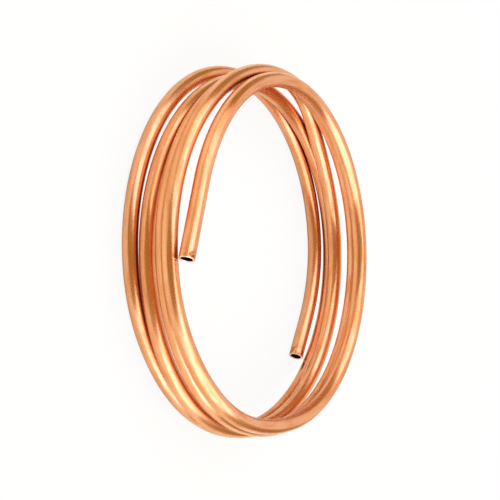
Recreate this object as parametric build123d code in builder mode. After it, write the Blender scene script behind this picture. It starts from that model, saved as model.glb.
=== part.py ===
from build123d import *
import math
import os

os.makedirs("parts", exist_ok=True)

# A coil of soft copper tube: one tube, wound by hand into about four and a half open turns.
# It lies flat on the floor with its axis along Z. The upper end is on the near side, -Y.
# Lengths are in millimetres.

# Tube
tube_diameter = 8.0
tube_wall = 1.0

# Coil: the mean radius of the turns, and the straight ends that were left before and after them
coil_radius = 93.0
upper_run = 40.0
lower_run = 23.0

# The winding goes down from the upper end, clockwise seen from above. Its stations are set out by
# quarter turns: 0 is the near side, 1 is -X, 2 is the far side, 3 is +X, and so on round.
near_side_angle = 270.0
quarter_turn = 90.0

# Each station is a quarter turn, how far the tube's middle stands out from the mean radius there, and
# how high it is over the turn that lies on the floor. The last two are shares of the tube's diameter.
winding_shares = [
    (0.30, -0.50, 4.30),
    (1, -0.30, 4.15),
    (2, -0.85, 4.10),
    (3, -0.40, 4.15),
    (3.50, 0.45, 3.75),
    (4, 0.60, 3.25),
    (5, 0.30, 3.25),
    (6, 0.00, 3.20),
    (7, -0.05, 3.10),
    (7.50, 0.20, 2.65),
    (8, -0.05, 2.35),
    (9, -0.05, 2.15),
    (9.30, 0.85, 2.25),
    (9.65, -0.30, 2.00),
    (10, -0.25, 1.75),
    (11, 0.05, 1.70),
    (11.50, 0.40, 1.40),
    (12, -0.20, 1.05),
    (13, -0.15, 1.10),
    (14, 0.50, 0.95),
    (15, 0.25, 0.50),
    (15.50, -0.15, 0),
    (16, 0.05, 0),
    (17, 0.45, 0),
    (18, -0.10, 0),
    (18.35, -0.55, 0),
]

tube_radius = tube_diameter / 2
bore_radius = tube_radius - tube_wall


def station(index):
    """Where the tube's middle is at one station of the winding, and the way it runs there."""
    before = winding_shares[max(index - 1, 0)]
    here = winding_shares[index]
    after = winding_shares[min(index + 1, len(winding_shares) - 1)]
    on_floor = here[2] == 0
    radius_rate = (after[1] - before[1]) / (after[0] - before[0])
    height_rate = 0 if on_floor else (after[2] - before[2]) / (after[0] - before[0])
    angle = math.radians(near_side_angle - quarter_turn * here[0])
    radius = coil_radius + here[1] * tube_diameter
    height = tube_radius + here[2] * tube_diameter
    outward = Vector(math.cos(angle), math.sin(angle), 0)
    onward = Vector(math.sin(angle), -math.cos(angle), 0)
    upward = Vector(0, 0, 1)
    way = (
        outward * (radius_rate * tube_diameter)
        + onward * (radius * math.radians(quarter_turn))
        + upward * (height_rate * tube_diameter)
    )
    return outward * radius + upward * height, way.normalized()


def bend(start, start_way, end, end_way):
    """Two arcs that leave one station and reach the next without a kink."""
    chord = end - start
    along = chord.dot(start_way + end_way)
    spread = 1 - start_way.dot(end_way)
    reach = chord.dot(chord) / (along + math.sqrt(along**2 + 2 * chord.dot(chord) * spread))
    start_corner = start + start_way * reach
    end_corner = end - end_way * reach
    joint = (start_corner + end_corner) * 0.5
    TangentArc(start, joint, tangent=start_way)
    TangentArc(joint, end, tangent=(end_corner - start_corner).normalized())


# The tube's middle line, moved so that the origin is under the middle of the whole coil
stations = [station(index) for index in range(len(winding_shares))]
first, first_way = stations[0]
last, last_way = stations[-1]
with BuildLine() as winding:
    Line(first - first_way * upper_run, first)
    for (start, start_way), (end, end_way) in zip(stations, stations[1:]):
        bend(start, start_way, end, end_way)
    Line(last, last + last_way * lower_run)
coil_middle = winding.wire().bounding_box().center()
middle_line = winding.wire().moved(Location((-coil_middle.X, -coil_middle.Y, 0)))

with BuildPart() as copper_tube:
    with BuildSketch(Plane(origin=middle_line @ 0, z_dir=middle_line % 0)):
        Circle(tube_radius)
        Circle(bore_radius, mode=Mode.SUBTRACT)
    sweep(path=middle_line)
copper_tube.part.label = "copper_tube"
export_step(copper_tube.part, "parts/copper_tube.step")

section = math.pi * (tube_radius**2 - bore_radius**2)
box = copper_tube.part.bounding_box()
print("tube length", round(middle_line.length, 1), "volume", round(copper_tube.part.volume, 1))
print("section times length", round(section * middle_line.length, 1))
print("box", box.min, box.max)
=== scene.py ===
import math
from collections import namedtuple

import bpy
from mathutils import Matrix, Vector


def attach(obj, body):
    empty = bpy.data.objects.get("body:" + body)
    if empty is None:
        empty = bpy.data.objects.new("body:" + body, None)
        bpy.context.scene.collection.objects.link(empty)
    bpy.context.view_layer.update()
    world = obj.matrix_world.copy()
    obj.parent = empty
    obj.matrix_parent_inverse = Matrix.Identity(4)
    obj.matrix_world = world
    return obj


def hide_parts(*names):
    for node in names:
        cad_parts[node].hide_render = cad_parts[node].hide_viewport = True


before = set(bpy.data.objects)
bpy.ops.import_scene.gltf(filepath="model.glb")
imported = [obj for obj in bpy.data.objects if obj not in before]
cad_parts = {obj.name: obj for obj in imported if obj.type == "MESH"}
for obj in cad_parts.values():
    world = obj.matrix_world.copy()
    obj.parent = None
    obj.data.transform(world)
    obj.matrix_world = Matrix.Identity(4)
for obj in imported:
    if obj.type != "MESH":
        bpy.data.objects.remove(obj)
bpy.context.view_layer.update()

# A coil of soft copper tube lies flat on a white floor, in soft studio light.
# Lengths are in metres and angles in degrees.

# Tube and coil, as in the part's source
tube_diameter = 0.008
tube_wall = 0.001
coil_radius = 0.093
upper_run = 0.04
lower_run = 0.023
near_side_angle = 270.0
quarter_turn = 90.0

# Quarter turn, distance out from the mean radius and height over the turn on the floor, the last two
# as shares of the tube's diameter
winding_shares = [
    (0.30, -0.50, 4.30),
    (1, -0.30, 4.15),
    (2, -0.85, 4.10),
    (3, -0.40, 4.15),
    (3.50, 0.45, 3.75),
    (4, 0.60, 3.25),
    (5, 0.30, 3.25),
    (6, 0.00, 3.20),
    (7, -0.05, 3.10),
    (7.50, 0.20, 2.65),
    (8, -0.05, 2.35),
    (9, -0.05, 2.15),
    (9.30, 0.85, 2.25),
    (9.65, -0.30, 2.00),
    (10, -0.25, 1.75),
    (11, 0.05, 1.70),
    (11.50, 0.40, 1.40),
    (12, -0.20, 1.05),
    (13, -0.15, 1.10),
    (14, 0.50, 0.95),
    (15, 0.25, 0.50),
    (15.50, -0.15, 0),
    (16, 0.05, 0),
    (17, 0.45, 0),
    (18, -0.10, 0),
    (18.35, -0.55, 0),
]

tube_radius = tube_diameter / 2
bore_radius = tube_radius - tube_wall

# Mesh of the tube: sides round it, the length of one step along it, how many steps the bore's coarser
# mesh takes at once, and the angle from which an edge is sharp
sides = 48
ring_step = 0.0018
bore_stride = 6
sharp_angle = 35.0
texture_place_name = "along_and_round"

# Cut ends: a worn outer edge and a small bevel inside
outer_bevel = 0.00018
inner_bevel = 0.00022

# A ring of the mesh: its middle, two directions across the tube, its radius, its distance along the tube,
# and the material slot of the faces between it and the next ring
Ring = namedtuple("Ring", "middle across aside radius distance slot")
skin_slot = 0
cut_slot = 1
bore_slot = 2

# Colours of the drawn skin from bright to deep, of the cut rim and of the bore
bright_copper = (0.92, 0.51, 0.31)
plain_copper = (0.88, 0.40, 0.14)
tarnished_copper = (0.68, 0.23, 0.055)
# The deepest colour is painted shade where turns crowd together, and also the colour of the dark spots at
# the cut ends
deep_mark_and_shade_copper = (0.38, 0.08, 0.01)
cut_copper = (0.98, 0.80, 0.62)
# The bore's near-black colour is its dull oxide darkened into painted shade inside the tube
bore_painted_shade = (0.06, 0.022, 0.01)
cut_roughness = 0.42
bore_roughness = 0.6

# Patterns in the skin, as noise: how many features lie along the tube and how many across its radius,
# levels of detail, how strong the finer levels are, and a shift that sets each pattern apart
streak_noise = (60, 9, 4, 0.6, 0.0)
blotch_noise = (170, 1.3, 4, 0.6, 31.0)
wave_noise = (100, 1.5, 1, 0.5, 3.0)
cloud_noise = (40, 0.7, 3, 0.55, 7.0)
spot_noise = (900, 1.4, 2, 0.5, 5.0)

# What a pattern does to the skin: from one value of the pattern to another, the effect goes from the
# third number to the fourth
bright_by_streak = (0.35, 0.65, 0, 1)
tarnish_by_cloud = (0.5, 0.75, 0, 0.7)
tarnish_by_blotch = (0.45, 0.75, 0, 0.7)
rough_by_streak = (0.3, 0.7, 0.19, 0.27)
rough_by_blotch = (0.4, 0.7, 0, 0.10)

# Painted shade where turns crowd together: how near another turn has to be, how many rays look for it, and
# how much painted shade by how open the place is
crowd_distance = 0.003
crowd_rays = 16
painted_shade_by_openness = (0.2, 0.8, 1, 0)

# Dark spots at the cut ends: by the distance from the end, and by the pattern of spots
mark_by_distance = (0.0021, 0.007, 1, 0)
mark_by_spot = (0.5, 0.6, 0, 0.9)

# Drawn finish: how far gloss spreads across the fine lines, the turn that lays it across them, the height
# of the skin's shallow waves, and the streaks' height as a share of it
line_gloss_spread = 0.6
line_gloss_turn = 0.25
wave_height = 0.00015
streak_height_share = 0.06

# Camera: the coil lies flat, and the picture was turned on its side
camera_azimuth = 3.908
camera_elevation = 31.226
camera_roll = -3.287
camera_distance = 0.753
camera_target = Vector((-0.00141, -0.00789, 0.02))
focal_length_px = 1426.6
picture_px = 500.0
sensor_mm = 36.0

# Studio: soft boxes as name, azimuth from the near side towards +X, elevation, lean of the top towards
# higher azimuths, width, height and brightness, where 1 is white paper. They face the coil from one
# distance, and a square metre of box takes the given watts to look as bright as white paper. The lamps are
# slightly cool, and the room is even, dim and warm.
soft_boxes = [
    ("left_box", -80, 55, -30, 1.40, 1.56, 1.35),
    ("right_box", 76, 48, 31, 1.40, 2.00, 1.6),
    ("left_panel", -68, 11, 0, 1.50, 0.72, 0.42),
    ("right_panel", 62, 8, 0, 1.70, 0.68, 0.8),
    ("back_box", 180, 35, 0, 1.60, 1.60, 0.45),
]
box_distance = 1.3
box_watts_per_area = 4.0
lamp_colour = (0.86, 0.95, 1.24)
room_colour = (0.46, 0.29, 0.11)

# White ground: the floor's paint is a warm white that evens out the cool lamps. Near the coil a share of
# the white is the floor's own, and the rest takes light and shadow. Between the two distances that share
# rises to the whole. The metal mirrors a smaller share.
white = (1.0, 1.0, 1.0)
floor_half = 4.0
floor_colour = (0.85, 0.83, 0.62)
floor_glow = 0.9
glow_rise_start = 0.15
glow_rise_end = 0.45
mirrored_floor_glow = 0.38


def station(index):
    """Where the tube's middle is at one station of the winding, and the way it runs there."""
    before = winding_shares[max(index - 1, 0)]
    here = winding_shares[index]
    after = winding_shares[min(index + 1, len(winding_shares) - 1)]
    on_floor = here[2] == 0
    radius_rate = (after[1] - before[1]) / (after[0] - before[0])
    height_rate = 0 if on_floor else (after[2] - before[2]) / (after[0] - before[0])
    angle = math.radians(near_side_angle - quarter_turn * here[0])
    radius = coil_radius + here[1] * tube_diameter
    height = tube_radius + here[2] * tube_diameter
    outward = Vector((math.cos(angle), math.sin(angle), 0))
    onward = Vector((math.sin(angle), -math.cos(angle), 0))
    upward = Vector((0, 0, 1))
    way = (
        outward * (radius_rate * tube_diameter)
        + onward * (radius * math.radians(quarter_turn))
        + upward * (height_rate * tube_diameter)
    )
    return outward * radius + upward * height, way.normalized()


def straight(start, end):
    """Points along a straight run, without its end."""
    count = math.ceil((end - start).length / ring_step)
    return [start.lerp(end, step / count) for step in range(count)]


def arc(start, way, end):
    """Points along the arc that leaves start in the given way and reaches end, without its end."""
    chord = end - start
    aside = chord - way * chord.dot(way)
    inward = aside.normalized()
    radius = chord.length_squared / (2 * aside.length)
    turned = 2 * math.atan2(aside.length, chord.dot(way))
    count = math.ceil(radius * turned / ring_step)
    angles = [turned * step / count for step in range(count)]
    return [start + way * (radius * math.sin(a)) + inward * (radius * (1 - math.cos(a))) for a in angles]


def bend(start, start_way, end, end_way):
    """Points along the two arcs that join one station to the next without a kink."""
    chord = end - start
    along = chord.dot(start_way + end_way)
    spread = 1 - start_way.dot(end_way)
    reach = chord.length_squared / (along + math.sqrt(along**2 + 2 * chord.length_squared * spread))
    start_corner = start + start_way * reach
    end_corner = end - end_way * reach
    joint = (start_corner + end_corner) / 2
    return arc(start, start_way, joint) + arc(joint, (end_corner - start_corner).normalized(), end)


def middle_line():
    """The tube's middle line from the upper end to the lower end, over the origin as the solid is."""
    stations = [station(index) for index in range(len(winding_shares))]
    first, first_way = stations[0]
    last, last_way = stations[-1]
    tip = last + last_way * lower_run
    points = straight(first - first_way * upper_run, first)
    for (start, start_way), (end, end_way) in zip(stations, stations[1:]):
        points += bend(start, start_way, end, end_way)
    points += straight(last, tip) + [tip]
    middle = [(min(p[axis] for p in points) + max(p[axis] for p in points)) / 2 for axis in (0, 1)]
    return [p - Vector((middle[0], middle[1], 0)) for p in points]


def carried_frames(points):
    """For each point of a line: the way it runs, and two directions across it that never twist."""
    frames = []
    across = Vector((0, 0, 1))
    for index in range(len(points)):
        way = (points[min(index + 1, len(points) - 1)] - points[max(index - 1, 0)]).normalized()
        across = (across - way * across.dot(way)).normalized()
        frames.append((way, across, way.cross(across)))
    return frames


def tube_rings(points):
    """The mesh's rings down the outside, over the lower rim, up the bore and over the upper rim."""
    frames = carried_frames(points)
    distances = [0.0]
    for before, after in zip(points, points[1:]):
        distances.append(distances[-1] + (after - before).length)
    last = len(points) - 1

    def ring(index, radius, slot, inset=0.0):
        way, across, aside = frames[index]
        into = inset if index == 0 else -inset
        return Ring(points[index] + way * into, across, aside, radius, distances[index] + into, slot)

    rings = [ring(0, tube_radius, skin_slot, outer_bevel)]
    rings += [ring(index, tube_radius, skin_slot) for index in range(1, last)]
    rings += [
        ring(last, tube_radius, cut_slot, outer_bevel),
        ring(last, tube_radius - outer_bevel, cut_slot),
        ring(last, bore_radius + inner_bevel, cut_slot),
        ring(last, bore_radius, bore_slot, inner_bevel),
    ]
    rings += [ring(index, bore_radius, bore_slot) for index in range(last - 1, 0, -bore_stride)]
    rings += [
        ring(0, bore_radius, cut_slot, inner_bevel),
        ring(0, bore_radius + inner_bevel, cut_slot),
        ring(0, tube_radius - outer_bevel, cut_slot),
    ]
    return rings, distances[-1]


def ring_points(ring):
    """The points of one ring, evenly round the tube."""
    angles = [2 * math.pi * side / sides for side in range(sides)]
    outward = [ring.across * math.cos(angle) + ring.aside * math.sin(angle) for angle in angles]
    return [ring.middle + direction * ring.radius for direction in outward]


def ring_faces(rings, length):
    """The faces between the rings, their material slots, and where their corners are on the tube."""
    faces = []
    face_slots = []
    corners = []
    for index, here in enumerate(rings):
        following = (index + 1) % len(rings)
        start = index * sides
        end = following * sides
        u_start = here.distance / length
        u_end = rings[following].distance / length
        for side in range(sides):
            beside = (side + 1) % sides
            faces.append((start + side, end + side, end + beside, start + beside))
            face_slots.append(here.slot)
            v_side = side / sides
            v_beside = (side + 1) / sides
            corners += [(u_start, v_side), (u_end, v_side), (u_end, v_beside), (u_start, v_beside)]
    return faces, face_slots, corners


def tube_object(rings, length, materials):
    """The whole tube as one mesh, with its length and girth as texture coordinates."""
    vertices = [point for ring in rings for point in ring_points(ring)]
    faces, face_slots, corners = ring_faces(rings, length)
    mesh = bpy.data.meshes.new("copper_tube_skin")
    mesh.from_pydata(vertices, [], faces)
    texture_place = mesh.uv_layers.new(name=texture_place_name)
    texture_place.data.foreach_set("uv", [value for corner in corners for value in corner])
    for material in materials:
        mesh.materials.append(material)
    mesh.polygons.foreach_set("material_index", face_slots)
    mesh.shade_smooth()
    mesh.set_sharp_from_angle(angle=math.radians(sharp_angle))
    mesh.update()
    tube = bpy.data.objects.new("copper_tube_skin", mesh)
    bpy.context.scene.collection.objects.link(tube)
    return tube


def new_material(name):
    """A node material, its node tree and its shader."""
    material = bpy.data.materials.new(name)
    material.use_nodes = True
    return material, material.node_tree, material.node_tree.nodes["Principled BSDF"]


def feed(tree, socket, value):
    """Link a node's input to another node's output, or set it to a number or a colour."""
    if isinstance(value, bpy.types.NodeSocket):
        tree.links.new(value, socket)
    elif isinstance(value, tuple):
        socket.default_value = (*value, 1)
    else:
        socket.default_value = value


def math_node(tree, operation, *values):
    """A Math node's result; each value is a socket or a number."""
    node = tree.nodes.new("ShaderNodeMath")
    node.operation = operation
    for socket, value in zip(node.inputs, values):
        feed(tree, socket, value)
    return node.outputs[0]


def ramp(tree, factor, low, high, low_value, high_value):
    """A number that goes from one value to another as the factor goes from low to high."""
    node = tree.nodes.new("ShaderNodeMapRange")
    feed(tree, node.inputs["Value"], factor)
    feed(tree, node.inputs["From Min"], low)
    feed(tree, node.inputs["From Max"], high)
    feed(tree, node.inputs["To Min"], low_value)
    feed(tree, node.inputs["To Max"], high_value)
    return node.outputs["Result"]


def mix_colour(tree, factor, first, second):
    """A mix of two colours; each is a socket or a triple."""
    node = tree.nodes.new("ShaderNodeMix")
    node.data_type = "RGBA"
    feed(tree, node.inputs["Factor"], factor)
    # The node's colours share their names with its numbers, so they are taken by their places
    feed(tree, node.inputs[6], first)
    feed(tree, node.inputs[7], second)
    return node.outputs[2]


def place_on_tube(tree):
    """Where a point is along the tube's length and round its girth, each from 0 to 1."""
    place = tree.nodes.new("ShaderNodeUVMap")
    place.uv_map = texture_place_name
    split = tree.nodes.new("ShaderNodeSeparateXYZ")
    tree.links.new(place.outputs["UV"], split.inputs[0])
    return split.outputs[0], split.outputs[1]


def tube_noise(tree, along_count, across_count, detail, roughness, shift):
    """Noise that closes round the tube."""
    along, girth = place_on_tube(tree)
    angle = math_node(tree, "MULTIPLY", girth, 2 * math.pi)
    joined = tree.nodes.new("ShaderNodeCombineXYZ")
    feed(tree, joined.inputs[0], math_node(tree, "MULTIPLY_ADD", along, along_count, shift))
    feed(tree, joined.inputs[1], math_node(tree, "MULTIPLY", math_node(tree, "COSINE", angle), across_count))
    feed(tree, joined.inputs[2], math_node(tree, "MULTIPLY", math_node(tree, "SINE", angle), across_count))
    noise = tree.nodes.new("ShaderNodeTexNoise")
    noise.inputs["Scale"].default_value = 1.0
    noise.inputs["Detail"].default_value = detail
    noise.inputs["Roughness"].default_value = roughness
    tree.links.new(joined.outputs[0], noise.inputs["Vector"])
    return noise.outputs["Fac"]


def end_marks(tree, length):
    """How strong the dark spots near the cut ends are."""
    along = place_on_tube(tree)[0]
    other_way = math_node(tree, "SUBTRACT", 1.0, along)
    distance = math_node(tree, "MULTIPLY", math_node(tree, "MINIMUM", along, other_way), length)
    spots = tube_noise(tree, *spot_noise)
    return math_node(
        tree, "MULTIPLY", ramp(tree, distance, *mark_by_distance), ramp(tree, spots, *mark_by_spot)
    )


def copper_colour(tree, streaks, blotches, length):
    """Streaked copper, darker in tarnished patches and at the cut ends, with painted shade where turns crowd
    together.
    """
    clouds = tube_noise(tree, *cloud_noise)
    crowding = tree.nodes.new("ShaderNodeAmbientOcclusion")
    crowding.samples = crowd_rays
    crowding.inputs["Distance"].default_value = crowd_distance
    openness = crowding.outputs["AO"]
    colour = mix_colour(tree, ramp(tree, streaks, *bright_by_streak), plain_copper, bright_copper)
    colour = mix_colour(tree, ramp(tree, clouds, *tarnish_by_cloud), colour, tarnished_copper)
    colour = mix_colour(tree, ramp(tree, blotches, *tarnish_by_blotch), colour, tarnished_copper)
    # Painted shade: the skin turns deep copper where another turn is near
    colour = mix_colour(tree, ramp(tree, openness, *painted_shade_by_openness), colour, deep_mark_and_shade_copper)
    return mix_colour(tree, end_marks(tree, length), colour, deep_mark_and_shade_copper)


def skin_bump(tree, streaks):
    """Shallow waves in the skin, with the fine lines of drawing on them."""
    waves = tube_noise(tree, *wave_noise)
    lines = math_node(tree, "MULTIPLY", streaks, streak_height_share)
    bump = tree.nodes.new("ShaderNodeBump")
    bump.inputs["Strength"].default_value = 1.0
    bump.inputs["Distance"].default_value = wave_height
    tree.links.new(math_node(tree, "ADD", waves, lines), bump.inputs["Height"])
    return bump.outputs[0]


def skin_material(length):
    """Drawn copper: satin, with fine lines along the tube and a skin that is not quite even."""
    material, tree, shader = new_material("copper")
    streaks = tube_noise(tree, *streak_noise)
    blotches = tube_noise(tree, *blotch_noise)
    streak_roughness = ramp(tree, streaks, *rough_by_streak)
    blotch_roughness = ramp(tree, blotches, *rough_by_blotch)
    along = tree.nodes.new("ShaderNodeTangent")
    along.direction_type = "UV_MAP"
    along.uv_map = texture_place_name
    feed(tree, shader.inputs["Base Color"], copper_colour(tree, streaks, blotches, length))
    feed(tree, shader.inputs["Roughness"], math_node(tree, "ADD", streak_roughness, blotch_roughness))
    feed(tree, shader.inputs["Tangent"], along.outputs[0])
    feed(tree, shader.inputs["Normal"], skin_bump(tree, streaks))
    shader.inputs["Metallic"].default_value = 1.0
    shader.inputs["Anisotropic"].default_value = line_gloss_spread
    shader.inputs["Anisotropic Rotation"].default_value = line_gloss_turn
    return material


def plain_metal(name, colour, roughness):
    """Metal of one colour all over, for the cut rim and the bore."""
    material, tree, shader = new_material(name)
    feed(tree, shader.inputs["Base Color"], colour)
    shader.inputs["Metallic"].default_value = 1.0
    shader.inputs["Roughness"].default_value = roughness
    return material


def floor_material():
    """White to the camera, less white in the metal, and lit and shaded near the coil."""
    material, tree, shader = new_material("white_floor")
    feed(tree, shader.inputs["Base Color"], floor_colour)
    shader.inputs["Roughness"].default_value = 1.0
    shader.inputs["Specular IOR Level"].default_value = 0.0
    place = tree.nodes.new("ShaderNodeTexCoord")
    distance = tree.nodes.new("ShaderNodeVectorMath")
    distance.operation = "LENGTH"
    tree.links.new(place.outputs["Object"], distance.inputs[0])
    own_white = ramp(tree, distance.outputs["Value"], glow_rise_start, glow_rise_end, floor_glow, 1.0)
    paths = tree.nodes.new("ShaderNodeLightPath")
    seen = math_node(tree, "MULTIPLY", paths.outputs["Is Camera Ray"], own_white)
    mirrored = math_node(tree, "MULTIPLY", paths.outputs["Is Glossy Ray"], mirrored_floor_glow)
    glow = tree.nodes.new("ShaderNodeEmission")
    glow.inputs["Strength"].default_value = 1.0
    both = tree.nodes.new("ShaderNodeMixShader")
    tree.links.new(math_node(tree, "ADD", seen, mirrored), both.inputs[0])
    tree.links.new(shader.outputs[0], both.inputs[1])
    tree.links.new(glow.outputs[0], both.inputs[2])
    tree.links.new(both.outputs[0], tree.nodes["Material Output"].inputs["Surface"])
    return material


def add_floor():
    """A wide white floor that still takes the coil's shadow."""
    signs = [(-1, -1), (1, -1), (1, 1), (-1, 1)]
    mesh = bpy.data.meshes.new("floor")
    mesh.from_pydata([(x * floor_half, y * floor_half, 0) for x, y in signs], [], [(0, 1, 2, 3)])
    mesh.materials.append(floor_material())
    floor = bpy.data.objects.new("floor", mesh)
    bpy.context.scene.collection.objects.link(floor)


def add_soft_box(name, azimuth, elevation, lean, width, height, brightness):
    """A soft box that faces the coil's middle and looks as bright as it is set, white paper being 1."""
    lamp = bpy.data.lights.new(name, "AREA")
    lamp.shape = "RECTANGLE"
    lamp.size = width
    lamp.size_y = height
    lamp.energy = box_watts_per_area * width * height * brightness
    lamp.color = lamp_colour
    across = math.radians(azimuth)
    up = math.radians(elevation)
    back = Vector((math.cos(up) * math.sin(across), -math.cos(up) * math.cos(across), math.sin(up)))
    upright = back.to_track_quat("Z", "Y").to_matrix()
    holder = bpy.data.objects.new(name, lamp)
    holder.location = back * box_distance
    holder.rotation_euler = (upright @ Matrix.Rotation(math.radians(-lean), 3, "Z")).to_euler()
    bpy.context.scene.collection.objects.link(holder)


def add_camera():
    """The photograph's view: from the near side, looking down on the coil, with -X up in the picture."""
    azimuth = math.radians(camera_azimuth)
    elevation = math.radians(camera_elevation)
    roll = math.radians(camera_roll)
    back = Vector((
        -math.cos(elevation) * math.sin(azimuth),
        -math.cos(elevation) * math.cos(azimuth),
        math.sin(elevation),
    ))
    level_right = Vector((-1, 0, 0)).cross(back).normalized()
    level_up = back.cross(level_right)
    right = level_right * math.cos(roll) + level_up * math.sin(roll)
    up = back.cross(right)
    camera = bpy.data.objects.new("camera", bpy.data.cameras.new("camera"))
    camera.data.sensor_width = sensor_mm
    camera.data.lens = sensor_mm * focal_length_px / picture_px
    turned = Matrix((right, up, back)).transposed().to_4x4()
    camera.matrix_world = Matrix.Translation(camera_target + back * camera_distance) @ turned
    bpy.context.scene.collection.objects.link(camera)
    bpy.context.scene.camera = camera


def add_room():
    """An even, dim and warm room, white where the camera sees it behind the floor."""
    world = bpy.data.worlds.new("room")
    world.use_nodes = True
    tree = world.node_tree
    paths = tree.nodes.new("ShaderNodeLightPath")
    background = tree.nodes["Background"]
    seen = mix_colour(tree, paths.outputs["Is Camera Ray"], room_colour, white)
    tree.links.new(seen, background.inputs["Color"])
    background.inputs["Strength"].default_value = 1.0
    bpy.context.scene.world = world


rings, tube_length = tube_rings(middle_line())
tube_materials = [
    skin_material(tube_length),
    plain_metal("cut_copper", cut_copper, cut_roughness),
    # The bore's colour is painted shade inside the tube
    plain_metal("bore_painted_shade", bore_painted_shade, bore_roughness),
]
tube = tube_object(rings, tube_length, tube_materials)
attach(tube, "root")
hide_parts("copper_tube")

add_floor()
add_camera()
add_room()
for soft_box in soft_boxes:
    add_soft_box(*soft_box)

bpy.context.scene.view_settings.view_transform = "Standard"
